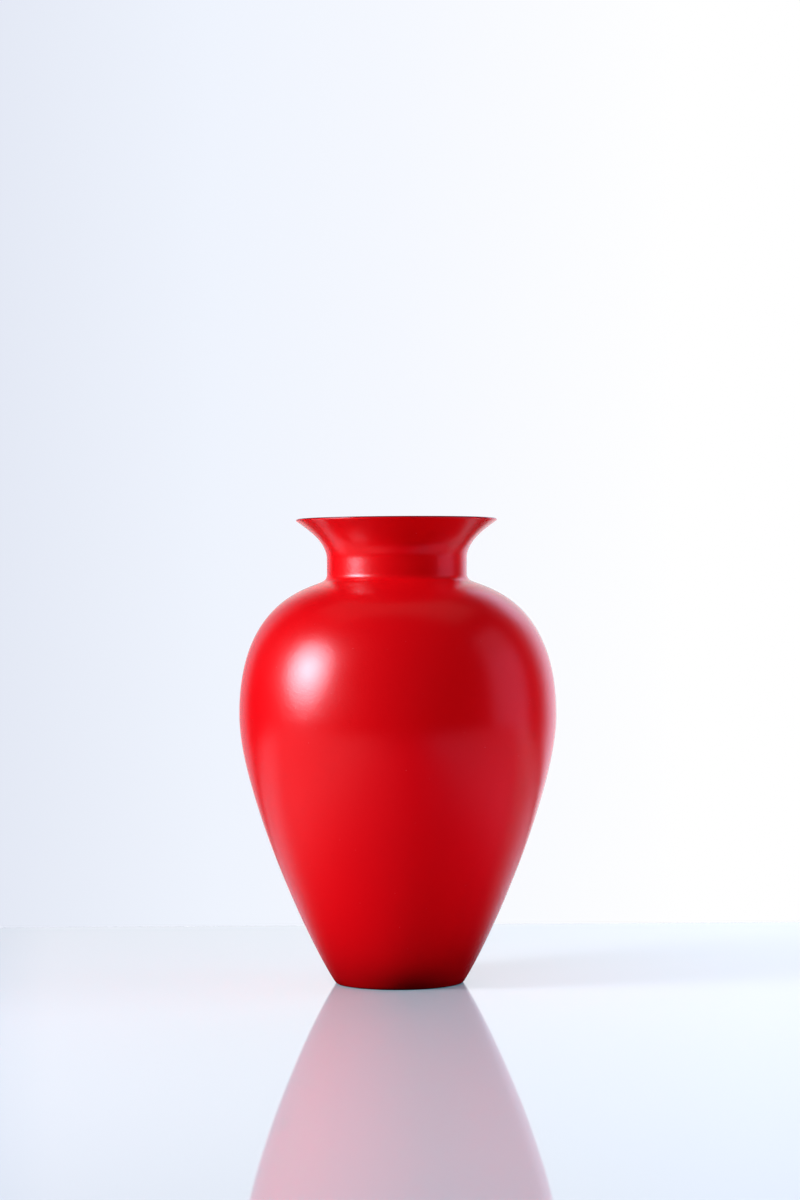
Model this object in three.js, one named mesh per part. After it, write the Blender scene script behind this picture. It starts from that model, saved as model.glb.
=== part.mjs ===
// A red glass vase with a wide ovoid body, a small foot, a short upright neck and a trumpet mouth.
// It is cased glass, so it is two layers. The inner layer is thick dark ruby glass: it carries the
// vase, and the vase stands on it, because the foot is ground flat through the casing. The casing
// is a thin opaque red layer over the whole outside. It ends on the round of the lip, where the
// inner layer shows as a thin dark line, and at the heel, just clear of the table.
// Millimetres, +Z up. The origin is the centre of the foot, on the surface that the vase stands on.

import * as THREE from 'three';

// Heights and radii of the outside
const HEIGHT = 300;
const HEEL_RADIUS = 39.4;
const BELLY_RADIUS = 102.5;
const BELLY_HEIGHT = 173;
const NECK_RADIUS = 45.3;
const NECK_BOTTOM = 264;
const NECK_TOP = 274;
const MOUTH_RADIUS = 65;

// How the outside bends. A pull is the length of a handle of one of its cubic curves.
const HEEL_ROUND = 3;
const FOOT_LEAN = THREE.MathUtils.degToRad(33.5);
const FOOT_PULL = 32.9;
const BELLY_PULL_DOWN = 46.5;
const BELLY_PULL_UP = 72.1;
const SHOULDER_SLOPE = THREE.MathUtils.degToRad(22.3);
const SHOULDER_PULL = 12.8;
const NECK_ROOT_ROUND = 5;
const NECK_TOP_PULL = 10.7;
const LIP_LEAN = THREE.MathUtils.degToRad(54.8);
const LIP_PULL = 9.9;

// The wall from outside to inside, and the round of the lip that it thins to
const CASING = 1.5;
const GAP = 0.3;
const GLASS = 3;
const WALL = CASING + GAP + GLASS;
const LIP_ROUND = 0.85;
const LIP_SHARE = (2 * LIP_ROUND) / WALL;

// The foot: a flat ring round a shallow dome, and the casing's lower edge a little above the ring
const RING_INNER_RADIUS = 30;
const RING_ARRIS = 0.4;
const DOME_HEIGHT = 2.6;
const CASING_EDGE = 0.35;

// The inside of the base: a bowl that meets the wall at this share of the lower body's curve
const BASE_THICKNESS = 15;
const BOWL_JOINT = 0.25;
const BOWL_FLOOR_PULL = 30;
const BOWL_WALL_PULL = 14;

// How finely the round shapes are cut: sides of the vase, and steps along each stretch
const SIDES = 48;
const STEPS = { dome: 3, heel: 2, lowerBody: 8, upperBody: 10, neckRoot: 4, flare: 6, lip: 3, bowl: 6 };

// Outlines are drawn in a half plane: x is the distance from the axis and y is the height.
const point = (radius, height) => new THREE.Vector2(radius, height);
const handle = (from, direction, pull) => from.clone().addScaledVector(direction, pull);
const arc = (centre, radius, from, to) =>
  new THREE.EllipseCurve(centre.x, centre.y, radius, radius, from, to, to < from);

// The outside, from the casing's edge at the heel up to the round of the lip
const up = point(0, 1);
const down = point(0, -1);
const heelStart = Math.asin(CASING_EDGE / HEEL_ROUND - 1);
const heel = arc(point(HEEL_RADIUS, HEEL_ROUND), HEEL_ROUND, heelStart, -FOOT_LEAN);

const belly = point(BELLY_RADIUS, BELLY_HEIGHT);
const wallStart = heel.getPoint(1);
const outwardFromFoot = point(Math.sin(FOOT_LEAN), Math.cos(FOOT_LEAN));
const lowerBody = new THREE.CubicBezierCurve(
  wallStart,
  handle(wallStart, outwardFromFoot, FOOT_PULL),
  handle(belly, down, BELLY_PULL_DOWN),
  belly,
);

const neckRootCentre = point(NECK_RADIUS + NECK_ROOT_ROUND, NECK_BOTTOM);
const neckRoot = arc(neckRootCentre, NECK_ROOT_ROUND, 1.5 * Math.PI - SHOULDER_SLOPE, Math.PI);

const shoulderEnd = neckRoot.getPoint(0);
const downShoulder = point(Math.cos(SHOULDER_SLOPE), -Math.sin(SHOULDER_SLOPE));
const upperBody = new THREE.CubicBezierCurve(
  belly,
  handle(belly, up, BELLY_PULL_UP),
  handle(shoulderEnd, downShoulder, SHOULDER_PULL),
  shoulderEnd,
);

const lipCentre = point(MOUTH_RADIUS - LIP_ROUND, HEIGHT - LIP_ROUND);
const lip = (fromAngle, toAngle) => arc(lipCentre, LIP_ROUND, fromAngle, toAngle);

const neckTop = point(NECK_RADIUS, NECK_TOP);
const flareEnd = lip(-LIP_LEAN, 0).getPoint(0);
const downFlare = point(-Math.sin(LIP_LEAN), -Math.cos(LIP_LEAN));
const flare = new THREE.CubicBezierCurve(
  neckTop,
  handle(neckTop, up, NECK_TOP_PULL),
  handle(flareEnd, downFlare, LIP_PULL),
  flareEnd,
);

// A station is a point of the outside, the direction into the glass there, and the share of the
// full thickness that the wall has there.
const full = () => 1;
const thinning = (t) => THREE.MathUtils.lerp(1, LIP_SHARE, t);
const stations = (curve, steps, share = full) =>
  Array.from({ length: steps + 1 }, (_, i) => {
    const t = i / steps;
    const along = curve.getTangent(t);
    return { at: curve.getPoint(t), inward: point(-along.y, along.x), share: share(t) };
  });

// The wall thins along the flare, to the round of the lip.
const outside = [
  ...stations(lowerBody, STEPS.lowerBody),
  ...stations(upperBody, STEPS.upperBody).slice(1),
  ...stations(neckRoot, STEPS.neckRoot).slice(1),
  ...stations(flare, STEPS.flare, thinning),
];

// The faces that follow the outside at a depth below it
const inset = (station, depth) =>
  station.at.clone().addScaledVector(station.inward, depth * station.share);
const onCasingInside = (station) => inset(station, CASING);
const onGlassOutside = (station) => inset(station, CASING + GAP);
const onGlassInside = (station) => inset(station, WALL);

// Below the body the two faces between the layers run straight on, down to the casing's edge.
const runDown = (start) =>
  handle(start, outwardFromFoot, (CASING_EDGE - start.y) / Math.cos(FOOT_LEAN));

// The angle of the lip's round at which it lies this deep under the line of the flare
const lipAngle = (depth) => Math.acos(1 - depth / LIP_ROUND) - LIP_LEAN;

// A ring: up the outside from the heel to the lip, and back down the face between the layers
function casingProfile() {
  const lipEdge = lip(-LIP_LEAN, lipAngle(CASING * LIP_SHARE)).getPoints(STEPS.lip);
  const upOutside = [
    ...heel.getPoints(STEPS.heel).slice(0, -1),
    ...outside.map((station) => station.at),
    ...lipEdge.slice(1),
  ];
  const upInside = outside.map(onCasingInside);
  return [...upOutside, ...upInside.reverse(), runDown(upInside.at(-1)), upOutside[0]];
}

// The underside is a flat ring round a dome, which is a parabola in the radius.
function underside(ringEdge) {
  const dome = Array.from({ length: STEPS.dome + 1 }, (_, i) => {
    const share = i / STEPS.dome;
    return point(share * RING_INNER_RADIUS, DOME_HEIGHT * (1 - share ** 2));
  });
  return [...dome, point(ringEdge.x - RING_ARRIS, 0), ringEdge];
}

// The floor of the hollow is a bowl that runs smoothly into the inside wall.
function bowlUpTo(joint) {
  const edge = onGlassInside(joint);
  const downWall = point(-joint.inward.y, joint.inward.x);
  return new THREE.CubicBezierCurve(
    point(0, BASE_THICKNESS),
    point(BOWL_FLOOR_PULL, BASE_THICKNESS),
    handle(edge, downWall, BOWL_WALL_PULL),
    edge,
  ).getPoints(STEPS.bowl);
}

// From the axis over the underside, up the face between the layers to the lip, down the inside
// wall, and over the bowl back to the axis
function glassProfile() {
  const upOutside = outside.map(onGlassOutside);
  const lipStart = lipAngle((CASING + GAP) * LIP_SHARE);
  const jointIndex = BOWL_JOINT * STEPS.lowerBody;
  const upInside = [
    ...bowlUpTo(outside[jointIndex]),
    ...outside.slice(jointIndex + 1).map(onGlassInside),
  ];
  return [
    ...underside(runDown(upOutside[0])),
    ...upOutside,
    ...lip(lipStart, Math.PI - LIP_LEAN).getPoints(STEPS.lip),
    ...upInside.reverse().slice(1),
  ];
}

// Turns a profile round the axis. A lathe turns about y, so the piece is then stood up on z.
function turned(name, profile, material) {
  const geometry = new THREE.LatheGeometry(profile, SIDES);
  geometry.rotateX(Math.PI / 2);
  const mesh = new THREE.Mesh(geometry, material);
  mesh.name = name;
  return mesh;
}

const rubyGlass = new THREE.MeshStandardMaterial({ color: 0x4a0612, roughness: 0.06, metalness: 0 });
const satinRed = new THREE.MeshStandardMaterial({ color: 0xe00a14, roughness: 0.42, metalness: 0 });

const vase = new THREE.Group();
vase.add(turned('inner_glass', glassProfile(), rubyGlass));
vase.add(turned('red_casing', casingProfile(), satinRed));

export default vase;
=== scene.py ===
# %% [markdown]
# # A red satin glass vase
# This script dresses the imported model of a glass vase: it gives the two layers of glass their fine
# shape and their finishes, and photographs the vase on a pale table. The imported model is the
# frame. It says where everything is, in metres, and nothing here moves or resizes it.

# %% Load the frame
import math

import bpy
import numpy as np
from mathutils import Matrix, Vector


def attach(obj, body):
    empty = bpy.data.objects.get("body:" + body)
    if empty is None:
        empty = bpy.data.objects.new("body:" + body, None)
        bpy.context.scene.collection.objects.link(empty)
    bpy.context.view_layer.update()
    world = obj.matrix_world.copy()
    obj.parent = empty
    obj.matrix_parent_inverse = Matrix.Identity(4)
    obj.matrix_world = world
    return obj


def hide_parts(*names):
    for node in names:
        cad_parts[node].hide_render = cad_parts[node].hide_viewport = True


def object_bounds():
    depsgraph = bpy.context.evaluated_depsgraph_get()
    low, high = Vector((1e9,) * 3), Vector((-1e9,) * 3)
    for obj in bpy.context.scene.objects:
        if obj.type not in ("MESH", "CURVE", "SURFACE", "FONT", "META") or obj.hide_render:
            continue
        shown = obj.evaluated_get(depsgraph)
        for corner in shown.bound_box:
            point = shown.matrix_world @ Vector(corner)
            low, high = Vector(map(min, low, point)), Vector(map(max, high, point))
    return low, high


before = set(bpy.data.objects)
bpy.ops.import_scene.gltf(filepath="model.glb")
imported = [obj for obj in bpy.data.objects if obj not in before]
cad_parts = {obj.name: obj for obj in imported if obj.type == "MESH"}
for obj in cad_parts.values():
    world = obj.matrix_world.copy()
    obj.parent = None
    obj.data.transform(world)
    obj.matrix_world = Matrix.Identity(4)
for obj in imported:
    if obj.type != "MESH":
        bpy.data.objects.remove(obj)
cad_low, cad_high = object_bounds()
print("nodes:", sorted(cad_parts))
print("CAD box in mm:", [round(1000 * v, 2) for v in (*cad_low, *cad_high)])

# %% [markdown]
# ## The camera
# The picture has the vase a little left of the middle, seen from the height of its shoulder. The
# horizon runs through the middle of the picture, so the camera is level: upright lines stay
# upright, and no shift is needed. The curve of the lip and the curve of the foot give the height,
# and how much the two differ gives the distance. The camera leans a little to the right.

# %% Place the camera
CAMERA_DISTANCE = 1.9841
CAMERA_HEIGHT = 0.24733
CAMERA_SIDE = 0.0019
CAMERA_LEAN = math.radians(0.388)
LENS_MM = 92.0
SENSOR_MM = 36.0

camera_data = bpy.data.cameras.new("camera")
camera_data.lens = LENS_MM
camera_data.sensor_width = SENSOR_MM
camera_data.clip_end = 50.0
camera = bpy.data.objects.new("camera", camera_data)
camera.location = (CAMERA_SIDE, -CAMERA_DISTANCE, CAMERA_HEIGHT)
camera.rotation_euler = (math.radians(90), CAMERA_LEAN, 0)
bpy.context.scene.collection.objects.link(camera)
bpy.context.scene.camera = camera
print("camera at", [round(v, 4) for v in camera.location], "lens", camera_data.lens, "mm")

# %% [markdown]
# ## The outline of the vase
# A glassblower shapes a vase by turning it, so one outline says everything: the distance from the
# axis and the height, from the heel up to the lip. It could be drawn as a list of points, but
# points never run quite smoothly, and satin glass shows every flat. Here each stretch is a curve
# that leaves the one before in the same direction: a cubic curve for the belly, an arc for the
# root of the neck. These are the sizes that the solids are built from too.

# %% Sizes of the outline, in metres
MM = 0.001
HEIGHT = cad_high.z
BELLY_RADIUS = cad_high.x
BELLY_HEIGHT = 173 * MM
NECK_RADIUS = 45.3 * MM
NECK_BOTTOM = 264 * MM
NECK_TOP = 274 * MM
MOUTH_RADIUS = 65 * MM

HEEL_RADIUS = 39.4 * MM
HEEL_ROUND = 3 * MM
FOOT_LEAN = math.radians(33.5)
FOOT_PULL = 32.9 * MM
BELLY_PULL_DOWN = 46.5 * MM
BELLY_PULL_UP = 72.1 * MM
SHOULDER_SLOPE = math.radians(22.3)
SHOULDER_PULL = 12.8 * MM
NECK_ROOT_ROUND = 5 * MM
NECK_TOP_PULL = 10.7 * MM
LIP_ROUND = 0.85 * MM
LIP_LEAN = math.radians(54.8)
LIP_PULL = 9.9 * MM
print("belly", round(2000 * BELLY_RADIUS, 1), "mm across, height", round(1000 * HEIGHT, 1), "mm")

# %% Curves as whole arrays
def cubic(start, start_handle, end_handle, end, steps):
    """Points and directions along a cubic curve. With t from 0 to 1 and s = 1 - t, a point is
    s^3 start + 3 s^2 t start_handle + 3 s t^2 end_handle + t^3 end."""
    t = np.linspace(0, 1, steps + 1)[:, None]
    s = 1 - t
    a, b, c, d = (np.asarray(p, float) for p in (start, start_handle, end_handle, end))
    points = s**3 * a + 3 * s**2 * t * b + 3 * s * t**2 * c + t**3 * d
    along = s**2 * (b - a) + 2 * s * t * (c - b) + t**2 * (d - c)
    return points, along / np.linalg.norm(along, axis=1, keepdims=True)


def arc(centre, radius, start, end, steps):
    """Points and directions along an arc: centre + radius (cos a, sin a), a from start to end."""
    a = np.linspace(start, end, steps + 1)[:, None]
    points = np.asarray(centre) + radius * np.hstack([np.cos(a), np.sin(a)])
    turn = np.sign(end - start)
    return points, turn * np.hstack([-np.sin(a), np.cos(a)])


def heading(angle):
    """The direction that leans this far outwards from straight up."""
    return np.array([math.sin(angle), math.cos(angle)])


# %% The stretches of the outside
UP = heading(0)
belly = np.array([BELLY_RADIUS, BELLY_HEIGHT])

heel, heel_along = arc((HEEL_RADIUS, HEEL_ROUND), HEEL_ROUND, -math.pi / 2, -FOOT_LEAN, 10)
lower = cubic(
    heel[-1],
    heel[-1] + FOOT_PULL * heading(FOOT_LEAN),
    belly - BELLY_PULL_DOWN * UP,
    belly,
    60,
)

root_centre = (NECK_RADIUS + NECK_ROOT_ROUND, NECK_BOTTOM)
root = arc(root_centre, NECK_ROOT_ROUND, 1.5 * math.pi - SHOULDER_SLOPE, math.pi, 16)
down_shoulder = np.array([math.cos(SHOULDER_SLOPE), -math.sin(SHOULDER_SLOPE)])
upper = cubic(
    belly,
    belly + BELLY_PULL_UP * UP,
    root[0][0] + SHOULDER_PULL * down_shoulder,
    root[0][0],
    60,
)

lip_centre = np.array([MOUTH_RADIUS - LIP_ROUND, HEIGHT - LIP_ROUND])
flare_end = lip_centre + LIP_ROUND * np.array([math.cos(LIP_LEAN), -math.sin(LIP_LEAN)])
neck_top = np.array([NECK_RADIUS, NECK_TOP])
flare = cubic(
    neck_top,
    neck_top + NECK_TOP_PULL * UP,
    flare_end - LIP_PULL * heading(LIP_LEAN),
    flare_end,
    36,
)
neck_steps = 6
neck_points = np.linspace(root[0][-1], neck_top, neck_steps + 1)[1:-1]
neck = (neck_points, np.tile(UP, (neck_steps - 1, 1)))
print("shoulder meets the neck's root at", np.round(1000 * root[0][0], 2), "mm")

# %% [markdown]
# ## The two layers
# The vase is cased glass: a thick gather of dark ruby glass with a thin coat of opaque red over
# it. The two are fused, so the face between them is shared. Both follow the outside at a depth
# below it, and both thin along the flare, where the wall was drawn out to the lip.

# %% Thickness of the wall
CASING = 1.5 * MM
WALL = 4.8 * MM
LIP_SHARE = 2 * LIP_ROUND / WALL

outside_points = np.vstack([lower[0], upper[0][1:], root[0][1:], neck[0], flare[0]])
outside_along = np.vstack([lower[1], upper[1][1:], root[1][1:], neck[1], flare[1]])
inward = np.stack([-outside_along[:, 1], outside_along[:, 0]], axis=1)
share = np.ones(len(outside_points))
share[-len(flare[0]):] = np.linspace(1, LIP_SHARE, len(flare[0]))


def below_outside(depth):
    """The outside moved straight into the glass by a depth, times the wall's share there."""
    return outside_points + (depth * share)[:, None] * inward


def lip_angle(depth):
    """Where a face at this depth below the flare comes out on the round of the lip."""
    return math.acos(1 - depth / LIP_ROUND) - LIP_LEAN


print("wall", 1000 * WALL, "mm, lip", round(2000 * LIP_ROUND, 2), "mm thick")

# %% [markdown]
# The face between the layers is never seen, so it makes do with every fourth point. Both
# outlines take the same points, so that neither layer pokes into the other.

# %% Outline of the casing
CASING_EDGE = 0.35 * MM
HIDDEN_STEP = 4

heel_start = math.asin(CASING_EDGE / HEEL_ROUND - 1)
heel_visible, _ = arc((HEEL_RADIUS, HEEL_ROUND), HEEL_ROUND, heel_start, -FOOT_LEAN, 10)
casing_lip, _ = arc(lip_centre, LIP_ROUND, -LIP_LEAN, lip_angle(CASING * LIP_SHARE), 8)
between_all = below_outside(CASING)
between = np.vstack([between_all[:-1:HIDDEN_STEP], between_all[-1]])
run_down = (CASING_EDGE - between[0, 1]) / math.cos(FOOT_LEAN)
between_foot = between[0] + run_down * heading(FOOT_LEAN)
casing_outline = np.vstack([
    heel_visible[:-1], outside_points, casing_lip[1:], between[::-1], between_foot,
])
print("casing outline:", len(casing_outline), "points")

# %% [markdown]
# Under the foot the maker ground the ring flat, so that the vase stands firm, and polished a
# shallow dome inside it, where the iron had held the hot vase. The bowl's floor inside is thick
# and round: the glass gathers at the bottom while it is blown.

# %% Outline of the inner glass
RING_INNER_RADIUS = 30 * MM
RING_ARRIS = 0.4 * MM
DOME_HEIGHT = 2.6 * MM
BASE_THICKNESS = 15 * MM
BOWL_FLOOR_PULL = 30 * MM
BOWL_WALL_PULL = 14 * MM
BOWL_JOINT = 15

dome_share = np.linspace(0, 1, 17)[:, None]
dome = np.hstack([dome_share * RING_INNER_RADIUS, DOME_HEIGHT * (1 - dome_share**2)])
ring_outer = np.array([between_foot[0] - RING_ARRIS, 0])
ring = np.linspace(dome[-1], ring_outer, 6)[1:]

inside = below_outside(WALL)
bowl_edge = inside[BOWL_JOINT]
bowl, _ = cubic(
    (0, BASE_THICKNESS),
    (BOWL_FLOOR_PULL, BASE_THICKNESS),
    bowl_edge - BOWL_WALL_PULL * outside_along[BOWL_JOINT],
    bowl_edge,
    30,
)
glass_lip, _ = arc(lip_centre, LIP_ROUND, lip_angle(CASING * LIP_SHARE), math.pi - LIP_LEAN, 12)
glass_outline = np.vstack([
    dome, ring, between_foot, between, glass_lip, inside[BOWL_JOINT + 1:-1][::-1], bowl[::-1],
])
print("inner glass outline:", len(glass_outline), "points")

# %% [markdown]
# ## Turning the outlines
# Turning an outline about the axis gives the surface. Done exactly, it looks machined. Glass is
# turned by hand while it is soft, and it sags a little before it sets, so each ring here is out
# of round by less than a tenth of a millimetre. That bends the reflections just enough.

# %% Turn an outline into a mesh
SAG = 0.0008


def turned(name, outline, sides, closed):
    """A surface of revolution: a point of the outline at radius r and height z goes to
    (r cos a, r sin a, z) for each of the sides' angles a, where r shrinks by
    SAG (2 + cos(2 a + 110 z) + cos(3 a - 170 z)) / 4 of itself. A closed outline joins its end to
    its start. An open one starts and ends on the axis, where the ring shrinks to one pole."""
    angle = np.arange(sides) * 2 * math.pi / sides
    rings = outline if closed else outline[1:-1]
    r, z = rings[:, :1], rings[:, 1:]
    sag = SAG * (2 + np.cos(2 * angle + 110 * z) + np.cos(3 * angle - 170 * z)) / 4
    r = r * (1 - sag)
    grid = np.stack([r * np.cos(angle), r * np.sin(angle), z + 0 * angle], axis=-1)
    verts = grid.reshape(-1, 3)

    count = len(rings)
    index = np.arange(count * sides).reshape(count, sides)
    right = np.roll(index, -1, axis=1)
    low, high = (index, np.roll(index, -1, axis=0)) if closed else (index[:-1], index[1:])
    low_right, high_right = (right, np.roll(right, -1, axis=0)) if closed else (right[:-1], right[1:])
    faces = np.stack([low, low_right, high_right, high], axis=-1).reshape(-1, 4).tolist()
    if not closed:
        bottom, top = len(verts), len(verts) + 1
        verts = np.vstack([verts, [0, 0, outline[0, 1]], [0, 0, outline[-1, 1]]])
        faces += np.stack([right[0], index[0], np.full(sides, bottom)], axis=-1).tolist()
        faces += np.stack([index[-1], right[-1], np.full(sides, top)], axis=-1).tolist()

    mesh = bpy.data.meshes.new(name)
    mesh.from_pydata(verts.tolist(), [], faces)
    mesh.shade_smooth()
    mesh.set_sharp_from_angle(angle=math.radians(35))
    piece = bpy.data.objects.new(name, mesh)
    bpy.context.scene.collection.objects.link(piece)
    print(name, "has", sum(len(p.vertices) - 2 for p in mesh.polygons), "triangles")
    return piece


# %% [markdown]
# ## Colours and nodes
# Colours are picked as the eye sees them, as sRGB hex values. Shaders work in linear light, so
# one function turns the one into the other. Another adds a node with its settings and links.

# %% Helpers for materials
def linear(hex_colour):
    """The linear colour of an sRGB hex value such as "e00a14"."""
    srgb = np.array([int(hex_colour[i:i + 2], 16) for i in (0, 2, 4)]) / 255
    low, high = srgb / 12.92, ((srgb + 0.055) / 1.055) ** 2.4
    return (*np.where(srgb <= 0.04045, low, high).tolist(), 1.0)


def new_material(name):
    """A material with an empty node tree but for its Principled shader and its output."""
    material = bpy.data.materials.new(name)
    material.use_nodes = True
    return material, material.node_tree, material.node_tree.nodes["Principled BSDF"]


def add(tree, kind, settings=None, **inputs):
    """Adds a node and gives its first output. Settings are its own properties. Inputs are
    values, or sockets to link. An input is called by its name, or by its number, such as _0."""
    node = tree.nodes.new(kind)
    for key, value in (settings or {}).items():
        setattr(node, key, value)
    for key, value in inputs.items():
        socket = node.inputs[int(key[1:])] if key[1:].isdigit() else node.inputs[key.replace("_", " ")]
        if isinstance(value, bpy.types.NodeSocket):
            tree.links.new(value, socket)
        else:
            socket.default_value = value
    return next(out for out in node.outputs if out.enabled)


def ramp(tree, value, low, high, to_low=0.0, to_high=1.0):
    """A smooth step: from to_low, where the value is low, to to_high, where it is high."""
    return add(
        tree, "ShaderNodeMapRange", {"interpolation_type": "SMOOTHSTEP"},
        Value=value, From_Min=low, From_Max=high, To_Min=to_low, To_Max=to_high,
    )


def steps(tree, value, stops):
    """A run of colours, given as pairs of a value and the colour there."""
    low, high = stops[0][0], stops[-1][0]
    share = add(tree, "ShaderNodeMapRange", Value=value, From_Min=low, From_Max=high)
    colours = add(tree, "ShaderNodeValToRGB", Fac=share)
    elements = colours.node.color_ramp.elements
    while len(elements) < len(stops):
        elements.new(1.0)
    for element, (at, colour) in zip(elements, stops):
        element.position = (at - low) / (high - low)
        element.color = colour
    return colours


def multiply(tree, first, second):
    """The product of two values."""
    return add(tree, "ShaderNodeMath", {"operation": "MULTIPLY"}, _0=first, _1=second)


def add_coordinates(tree):
    """The place on the object, in metres, and its three coordinates."""
    place = add(tree, "ShaderNodeTexCoord").node.outputs["Object"]
    return place, *add(tree, "ShaderNodeSeparateXYZ", Vector=place).node.outputs


def blend(tree, share, first, second):
    """Mixes two colours: the first where the share is 0, the second where it is 1."""
    return add(tree, "ShaderNodeMix", {"data_type": "RGBA"}, _0=share, _6=first, _7=second)


# %% [markdown]
# ## Satin red glass
# The outside is opaque red glass, etched in acid. The acid leaves a skin of tiny pits, so the
# glass keeps its full colour but spreads every reflection into a soft glow. Only the roughness
# value can make a glow that soft: pits of a hundredth of a millimetre are too small to model.
# What a bump does add is the coarser grain that a strong light shows at the edge of its glow.
# Toward the lip the grain fades, because the flame that polished the lip softened the glass there.

# %% Satin red glass
GRAIN = 1.3 * MM
GRAIN_STRENGTH = 0.35
POLISHED_FROM, POLISHED_TO = HEIGHT - 20 * MM, HEIGHT - 8 * MM
CLOUD = 28 * MM

satin, tree, shader = new_material("satin_red_glass")
place, _, _, height = add_coordinates(tree)
grain = add(tree, "ShaderNodeTexNoise", Vector=place, Scale=1 / GRAIN, Detail=1.5)
cloud = add(tree, "ShaderNodeTexNoise", Vector=place, Scale=1 / CLOUD, Detail=2.0)
graininess = ramp(tree, height, POLISHED_FROM, POLISHED_TO, GRAIN_STRENGTH, 0.0)
bump = add(tree, "ShaderNodeBump", Strength=graininess, Distance=0.2 * MM, Height=grain)
roughness = ramp(tree, cloud, 0.3, 0.7, 0.23, 0.25)
tree.links.new(bump, shader.inputs["Normal"])
tree.links.new(roughness, shader.inputs["Roughness"])
shader.inputs["IOR"].default_value = 1.5

# %% [markdown]
# Two small things break up the even red. Specks of pale glass the size of a pinpoint lie in the
# coat. A Voronoi texture gives each cell of space one point and one random number: the coat shows
# the points that it happens to cut, about one in seven square centimetres, and the number says
# how pale each is. And along the lip the coat was drawn so thin that the ruby shades through it.

# %% Specks and the thin edge
SPECK_CELL = 7 * MM
SPECK_RADIUS = 0.26 * MM
THIN_EDGE = 1.2 * MM

cell = add(tree, "ShaderNodeTexVoronoi", Vector=place, Scale=1 / SPECK_CELL)
dot = ramp(tree, cell, 0.6 * SPECK_RADIUS / SPECK_CELL, SPECK_RADIUS / SPECK_CELL, 1.0, 0.0)
pale = ramp(tree, cell.node.outputs["Color"], 0.2, 1.0, 0.05, 0.6)
speck = multiply(tree, dot, pale)
specked = blend(tree, speck, linear("e10510"), linear("f8a0a8"))
thin = ramp(tree, height, HEIGHT - THIN_EDGE, HEIGHT, 0.0, 0.5)
colour = blend(tree, thin, specked, linear("8c0a18"))
tree.links.new(colour, shader.inputs["Base Color"])
print("satin red glass has", len(tree.nodes), "nodes")

# %% [markdown]
# ## Ruby glass
# The inner layer is fire-polished: it set from the melt and was never touched, so it is as smooth
# as water. Real ruby glass lets light through, but here the opaque coat backs it all over, and the
# light that gets in comes out dark red. A dark base under a polished surface says the same, and
# it says it without noise. At the lip the layer is thin and paler, and its lighter colour there is
# also a painted glow of light shining through the thin glass.

# %% Ruby glass
LIGHTER_BELOW_LIP = 9 * MM

ruby, tree, shader = new_material("fire_polished_ruby_glass")
place, _, _, height = add_coordinates(tree)
# lighter at the lip: thinner glass, and a painted glow of light shining through it
lighter = ramp(tree, height, HEIGHT - LIGHTER_BELOW_LIP, HEIGHT - 1 * MM)
base = blend(tree, lighter, linear("4a0610"), linear("7c0f1c"))
tree.links.new(base, shader.inputs["Base Color"])
shader.inputs["Roughness"].default_value = 0.05
shader.inputs["IOR"].default_value = 1.52

# %% [markdown]
# Hot glass is never quite even. Streaks of slightly stiffer glass, called cords, run round the
# wall the way it was turned, and they make soft ripples in the polish. So this noise is
# squashed in height, which leaves it long round the vase.

# %% Cords
CORD = 30 * MM
CORD_FLATTENING = 5.0

squashed = add(tree, "ShaderNodeMapping", Vector=place, Scale=(1, 1, CORD_FLATTENING))
cords = add(tree, "ShaderNodeTexNoise", Vector=squashed, Scale=1 / CORD, Detail=1.0)
bump = add(tree, "ShaderNodeBump", Strength=0.35, Distance=0.5 * MM, Height=cords)
tree.links.new(bump, shader.inputs["Normal"])
print("ruby glass has", len(tree.nodes), "nodes")

# %% [markdown]
# ## Ground glass
# The ring that the vase stands on was ground on a flat wheel. Grinding breaks the surface into
# facets that scatter light, so the dark glass looks paler there, and dull. The wheel leaves
# circles round the axis.

# %% Ground glass
MARK = 0.5 * MM

ground, tree, shader = new_material("ground_ruby_glass")
place, *_ = add_coordinates(tree)
marks = add(
    tree, "ShaderNodeTexWave", {"wave_type": "RINGS", "rings_direction": "Z"},
    Vector=place, Scale=math.pi / 10 / MARK, Distortion=3.0, Detail=2.0, Detail_Scale=1.5,
)
bump = add(tree, "ShaderNodeBump", Strength=0.3, Distance=0.05 * MM, Height=marks)
scuffed = blend(tree, marks, linear("6e3038"), linear("8c525a"))
tree.links.new(bump, shader.inputs["Normal"])
tree.links.new(scuffed, shader.inputs["Base Color"])
shader.inputs["Roughness"].default_value = 0.55
shader.inputs["IOR"].default_value = 1.52
print("ground glass has", len(tree.nodes), "nodes")

# %% [markdown]
# ## The two layers as pieces
# Each layer is one piece, because each is one body of glass. The casing rides where the model's
# red_casing is, and the inner glass where its inner_glass is, in place of both.

# %% Make the two layers
SIDES = 320

casing = turned("vase_casing", casing_outline, SIDES, closed=True)
casing.data.materials.append(satin)
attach(casing, "root")
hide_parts("red_casing")

glass = turned("vase_inner_glass", glass_outline, SIDES, closed=False)
glass.data.materials.append(ruby)
glass.data.materials.append(ground)
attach(glass, "root")
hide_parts("inner_glass")

# %% The ground faces
ground_faces = 0
for face in glass.data.polygons:
    if face.center.z < 1e-5 and face.normal.z < -0.9:
        face.material_index = 1
        ground_faces += 1
print(ground_faces, "faces are ground")

# %% [markdown]
# ## The table
# The vase stands on a sheet of white acrylic, glossy enough to mirror it. Light that enters the
# sheet wanders inside it, and some of it comes out cool, as a faint glow of its own. That glow is
# too weak to be worth aiming at, so it isn't sampled as a lamp. The sheet ends 35 cm behind the
# vase, and the bright backdrop begins there.

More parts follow.
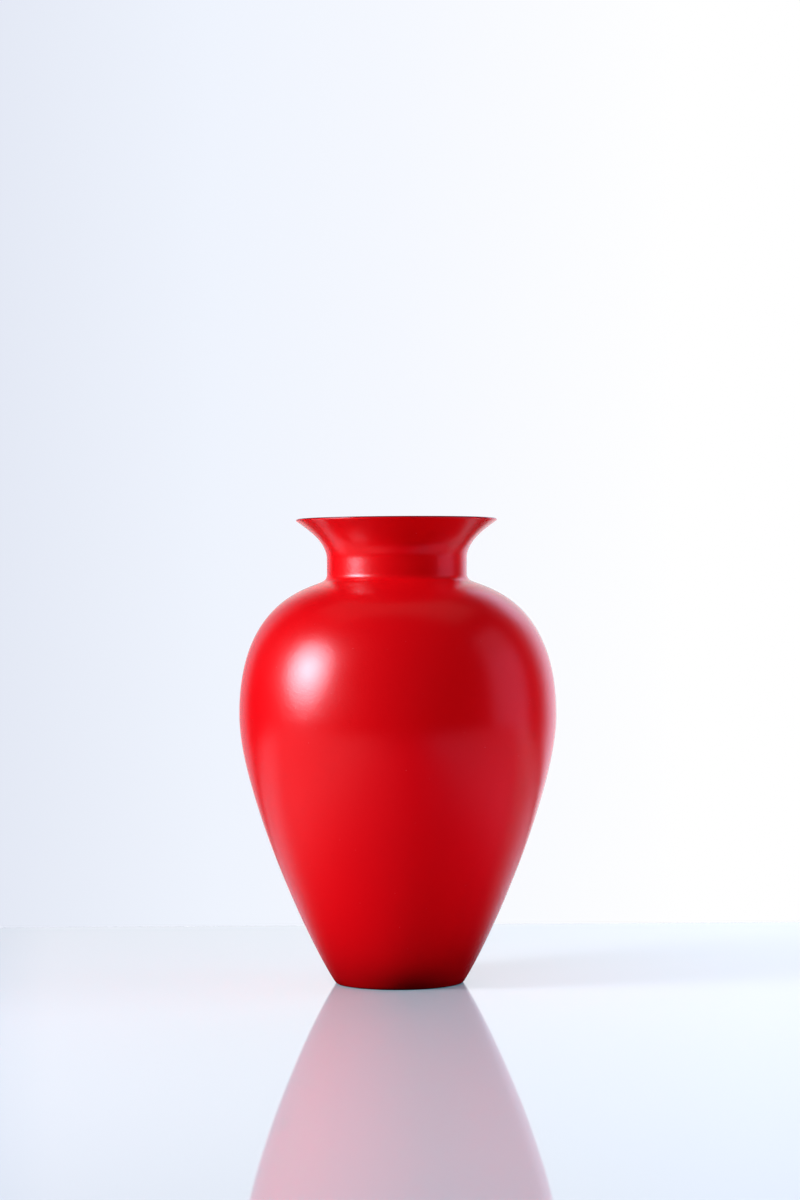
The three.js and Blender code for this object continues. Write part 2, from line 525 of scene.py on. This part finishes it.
# %% Table
def sheet(name, corners, material):
    """One flat face of the stage with these corners, in metres."""
    mesh = bpy.data.meshes.new(name)
    mesh.from_pydata(corners, [], [(0, 1, 2, 3)])
    mesh.materials.append(material)
    piece = bpy.data.objects.new(name, mesh)
    bpy.context.scene.collection.objects.link(piece)
    return piece


def corners_on_table(left, right, front, back, height):
    """The corners of a level rectangle, in the order that makes it face up."""
    return [(left, front, height), (right, front, height), (right, back, height), (left, back, height)]


TABLE_HALF = 3.0
TABLE_FAR_EDGE = 0.352

acrylic, tree, shader = new_material("white_acrylic")
shader.inputs["Base Color"].default_value = linear("dde0ee")
shader.inputs["Roughness"].default_value = 0.03
shader.inputs["IOR"].default_value = 1.49
shader.inputs["Emission Color"].default_value = (0.28, 0.78, 1.0, 1)
shader.inputs["Emission Strength"].default_value = 0.125
acrylic.cycles.emission_sampling = "NONE"
sheet("table", corners_on_table(-TABLE_HALF, TABLE_HALF, -TABLE_HALF, TABLE_FAR_EDGE, 0), acrylic)

# %% [markdown]
# A photographer keeps glass from looking milky with black cards: whatever the glass would mirror
# is covered, so that only its own colour comes through. The table is the brightest thing in
# front of the vase. A card lies on it there, and only the camera doesn't see it. The light that
# the table would throw up is given back by lamps further down.

# %% The black card
CARD_FADE = (-0.02, 0.12)

_, _, depth, _ = add_coordinates(tree)
by_camera = add(tree, "ShaderNodeLightPath").node.outputs["Is Camera Ray"]
in_front = ramp(tree, depth, *CARD_FADE, 1.0, 0.0)
unseen = add(tree, "ShaderNodeMath", {"operation": "SUBTRACT"}, _0=1.0, _1=by_camera)
covered = multiply(tree, in_front, unseen)
card = add(tree, "ShaderNodeEmission", Strength=0.0)
either = add(tree, "ShaderNodeMixShader", _0=covered, _1=shader.outputs[0], _2=card)
tree.links.new(either, tree.nodes["Material Output"].inputs["Surface"])

# %% [markdown]
# ## Light
# Satin glass shows its lamps as soft glows, so every glow in the picture tells of a lamp. A big
# round softbox stands on the left. Its face, as the glass mirrors it, and its light, as it falls
# on the vase and the table, are separate lamps here, so that each can be matched on its own. The
# face is three discs one on the other, because a softbox is brightest in its middle.

# %% A lamp
def panel(name, location, target, width, height, radiance, colour=(1, 1, 1), disk=False, **seen):
    """A flat lamp that faces the target and glows with this radiance. A lamp of the area A
    gives the radiance P / (pi A) at the power P. A lamp that mustn't be mirrored is only aimed
    at and never found by chance, because a ray by chance would mirror it a little."""
    data = bpy.data.lights.new(name, "AREA")
    data.shape = "ELLIPSE" if disk else "RECTANGLE"
    data.size, data.size_y = width, height
    area = width * height * (math.pi / 4 if disk else 1)
    data.energy = radiance * math.pi * area
    data.color = colour
    lamp = bpy.data.objects.new(name, data)
    lamp.location = location
    way = Vector(np.subtract(target, location))
    lamp.rotation_euler = way.to_track_quat("-Z", "Y").to_euler()
    lamp.visible_camera = False
    for key, value in seen.items():
        setattr(lamp, key, value)
    data.cycles.use_multiple_importance_sampling = lamp.visible_glossy
    bpy.context.scene.collection.objects.link(lamp)
    return lamp


# %% The softbox on the left
VASE = (0, 0, 0.17)
FACE = (-2.2, -0.76, 1.03)
FACE_DISCS = ((1.6, 7), (1.2, 11), (0.7, 26))
KEY = (-1.07, -0.50, 0.60)
COOL = (1.0, 1.0, 1.18)

for diameter, radiance in FACE_DISCS:
    panel(f"face_{diameter}", FACE, VASE, diameter, diameter, radiance, COOL, disk=True,
          visible_diffuse=False)
panel("soft_light", KEY, VASE, 0.5, 0.5, 15, visible_glossy=False)
panel("hard_light", KEY, VASE, 0.08, 0.08, 135, visible_glossy=False)

# %% [markdown]
# Behind the vase stands the backdrop, a sheet that glows brighter towards the right. The table
# mirrors it, so it has no edges or steps: its glow is a ramp. The camera sees none of it, because
# in the photograph the backdrop is white past all detail, and the world's plain tone does that.

# %% The glowing backdrop
BACK = 1.5
BACK_LEFT, BACK_RIGHT = -1.3, 2.0
BACK_LOW, BACK_HIGH = -0.2, 1.5
GLOW = (
    (-1.3, (0.38, 0.40, 0.50)), (-0.6, (0.50, 0.52, 0.62)), (-0.4, (0.95, 0.90, 0.92)),
    (0.0, (1.10, 1.08, 1.08)), (0.4, (1.25, 1.28, 1.38)), (0.8, (1.30, 1.30, 1.60)),
    (1.3, (1.20, 1.10, 1.45)), (1.7, (0.30, 0.28, 0.40)),
)
GLOW_FADE = (0.75, 1.35)

glowing, tree, shader = new_material("glowing_backdrop")
_, across, _, upward = add_coordinates(tree)
glow = steps(tree, across, [(x, (*colour, 1)) for x, colour in GLOW])
faded = ramp(tree, upward, *GLOW_FADE, 1.0, 0.3)
emission = add(tree, "ShaderNodeEmission", Color=glow, Strength=faded)
tree.links.new(emission, tree.nodes["Material Output"].inputs["Surface"])

backdrop = sheet("backdrop", [
    (BACK_LEFT, BACK, BACK_LOW), (BACK_RIGHT, BACK, BACK_LOW),
    (BACK_RIGHT, BACK, BACK_HIGH), (BACK_LEFT, BACK, BACK_HIGH),
], glowing)
backdrop.visible_camera = False

# %% [markdown]
# White panels at the right and overhead are what the satin mirrors at its edges. The neck shows
# the right panel as a crisp upright patch.

# %% Panels at the right and overhead
RIGHT = 1.5

panel("right_low", (RIGHT, -0.05, 0.45), (0, -0.05, 0.45), 0.9, 0.9, 0.8, (1.0, 0.48, 0.85))
panel("right_high", (RIGHT, -0.05, 1.2), (0, -0.05, 1.2), 0.9, 0.6, 0.40, (1.0, 0.65, 1.0))
panel("right_behind", (0.85, 1.45, 1.2), (0.85, 0, 1.2), 0.9, 0.6, 0.8, (1.1, 0.85, 1.3))
panel("overhead", (0, 0.15, 1.7), (0, 0.15, 0), 2.0, 0.9, 0.15)

# %% [markdown]
# The soft light of the room comes from in front. It has no glow of its own in the glass, so
# these panels light the vase and the table but aren't mirrored. The table throws light up at the
# vase's lower half, more at its sides than in front. Lamps that lie on the table stand for that,
# and they aren't mirrored either.

# %% Soft light from in front and from the table
FILL_DISTANCE = 1.8
FILL_SIDE = 0.9
FILLS = (
    (-60, 1.5, 1.0), (-20, 1.5, 1.7), (0, 1.5, 1.0), (30, 1.5, 0.7), (60, 1.5, 1.5), (95, 1.5, 1.2),
    (95, 0.6, 2.0),
)

for degrees, height, radiance in FILLS:
    angle = math.radians(degrees)
    front = (FILL_DISTANCE * math.sin(angle), -FILL_DISTANCE * math.cos(angle), height)
    panel(f"fill_{degrees}_{height}", front, VASE, FILL_SIDE, FILL_SIDE, radiance,
          visible_glossy=False)


BOUNCE_HEIGHT = 4 * MM
BOUNCES = {
    "bounce": (-0.25, -0.06, -0.35, 0.1, 0.4, (1.0, 0.8, 1.0)),
    "bounce_middle": (-0.06, 0.12, -0.35, -0.1, 0.4, (1.0, 0.8, 1.0)),
    "bounce_left": (-1.2, -0.25, -0.35, 0.1, 1.9, (1.0, 0.9, 0.85)),
    "bounce_front": (-0.1, 0.35, -0.4, -0.06, 0.4, (1.0, 0.8, 1.0)),
    "bounce_side": (0.1, 0.3, -0.04, 0.3, 0.8, (1.0, 0.8, 0.9)),
    "bounce_right": (0.3, 1.2, -0.35, 0.1, 2.3, (1.0, 0.85, 0.8)),
}

for name, (left, right, front, back, radiance, colour) in BOUNCES.items():
    x, y = (left + right) / 2, (front + back) / 2
    panel(name, (x, y, BOUNCE_HEIGHT), (x, y, 1), right - left, back - front, radiance, colour,
          visible_glossy=False)

# %% [markdown]
# What the glass mirrors of the card is as faint as a glow: dark red in the middle, where the
# card faces the vase, and paler towards its sides. A sheet just above the card paints that
# reflection as a glow of its own. Only mirroring rays meet it, and only from above. From below it
# is clear, so that the table still mirrors the vase. It is clear too where it fades: at its edges,
# and round the foot, where the fade is painted shade of the foot.

# %% The glow of the card
CARD_GLOW = (
    (-1.4, (0.50, 0.30, 0.35)), (-0.6, (0.80, 0.45, 0.50)), (-0.27, (1.20, 0.50, 0.58)),
    (-0.1, (1.60, 0.16, 0.24)), (0.05, (1.70, 0.03, 0.08)), (0.15, (1.50, 0.06, 0.15)),
    (0.3, (1.10, 0.27, 0.50)), (0.6, (0.70, 0.25, 0.40)), (1.2, (0.40, 0.15, 0.30)),
)
CARD_LEFT, CARD_RIGHT = CARD_GLOW[0][0], CARD_GLOW[-1][0]
CARD_FRONT, CARD_BACK = -0.85, 0.1
CARD_FADE_FRONT, CARD_FADE_BACK = 0.4, 0.16
CARD_GLOW_HEIGHT = 4 * MM
FOOT_PAINTED_SHADE = (0.05, 0.32)

carded, tree, shader = new_material("glow_of_the_card")
place, across, depth, _ = add_coordinates(tree)
glow = steps(tree, across, [(x, (*colour, 1)) for x, colour in CARD_GLOW])
from_front = ramp(tree, depth, CARD_FRONT, CARD_FRONT + CARD_FADE_FRONT)
to_back = ramp(tree, depth, CARD_BACK - CARD_FADE_BACK, CARD_BACK, 1.0, 0.0)
away = add(tree, "ShaderNodeVectorMath", {"operation": "LENGTH"}, _0=place)
# painted shade: the glow is dimmed round the foot, as if the vase shaded it
painted_foot_shade = ramp(tree, away, *FOOT_PAINTED_SHADE, 0.1, 1.0)
faded = multiply(tree, multiply(tree, from_front, to_back), painted_foot_shade)
from_below = add(tree, "ShaderNodeNewGeometry").node.outputs["Backfacing"]
from_above = add(tree, "ShaderNodeMath", {"operation": "SUBTRACT"}, _0=1.0, _1=from_below)
seen = multiply(tree, faded, from_above)
emission = add(tree, "ShaderNodeEmission", Color=glow, Strength=1.0)
clear = add(tree, "ShaderNodeBsdfTransparent")
either = add(tree, "ShaderNodeMixShader", _0=seen, _1=clear, _2=emission)
tree.links.new(either, tree.nodes["Material Output"].inputs["Surface"])

carded.cycles.emission_sampling = "NONE"
card_glow = sheet(
    "card_glow",
    corners_on_table(CARD_LEFT, CARD_RIGHT, CARD_FRONT, CARD_BACK, CARD_GLOW_HEIGHT),
    carded,
)
card_glow.visible_camera = False
card_glow.visible_diffuse = False
card_glow.visible_shadow = False

# %% [markdown]
# ## What the camera sees behind the table
# To the camera the backdrop is plain white light that falls off to a cool grey at the left, where
# less of it is lit. The rest of the room only adds a dim even light, and no reflections.

# %% World
world = bpy.data.worlds.new("studio")
world.use_nodes = True
bpy.context.scene.world = world
tree = world.node_tree
background = tree.nodes["Background"]
way = add(tree, "ShaderNodeTexCoord").node.outputs["Generated"]
sideways = add(tree, "ShaderNodeSeparateXYZ", Vector=way)
TONES = ((-0.13, "e4e9f5"), (-0.06, "eff4fe"), (0.0, "f5f8ff"), (0.09, "ffffff"))
tones = steps(tree, sideways, [(x, linear(tone)) for x, tone in TONES])
seen_by_camera = add(tree, "ShaderNodeLightPath").node.outputs["Is Camera Ray"]
tone = blend(tree, seen_by_camera, (0.02, 0.02, 0.022, 1), tones)
tree.links.new(tone, background.inputs["Color"])
world.cycles_visibility.glossy = False

# %% Finish
bpy.context.scene.view_settings.view_transform = "Standard"
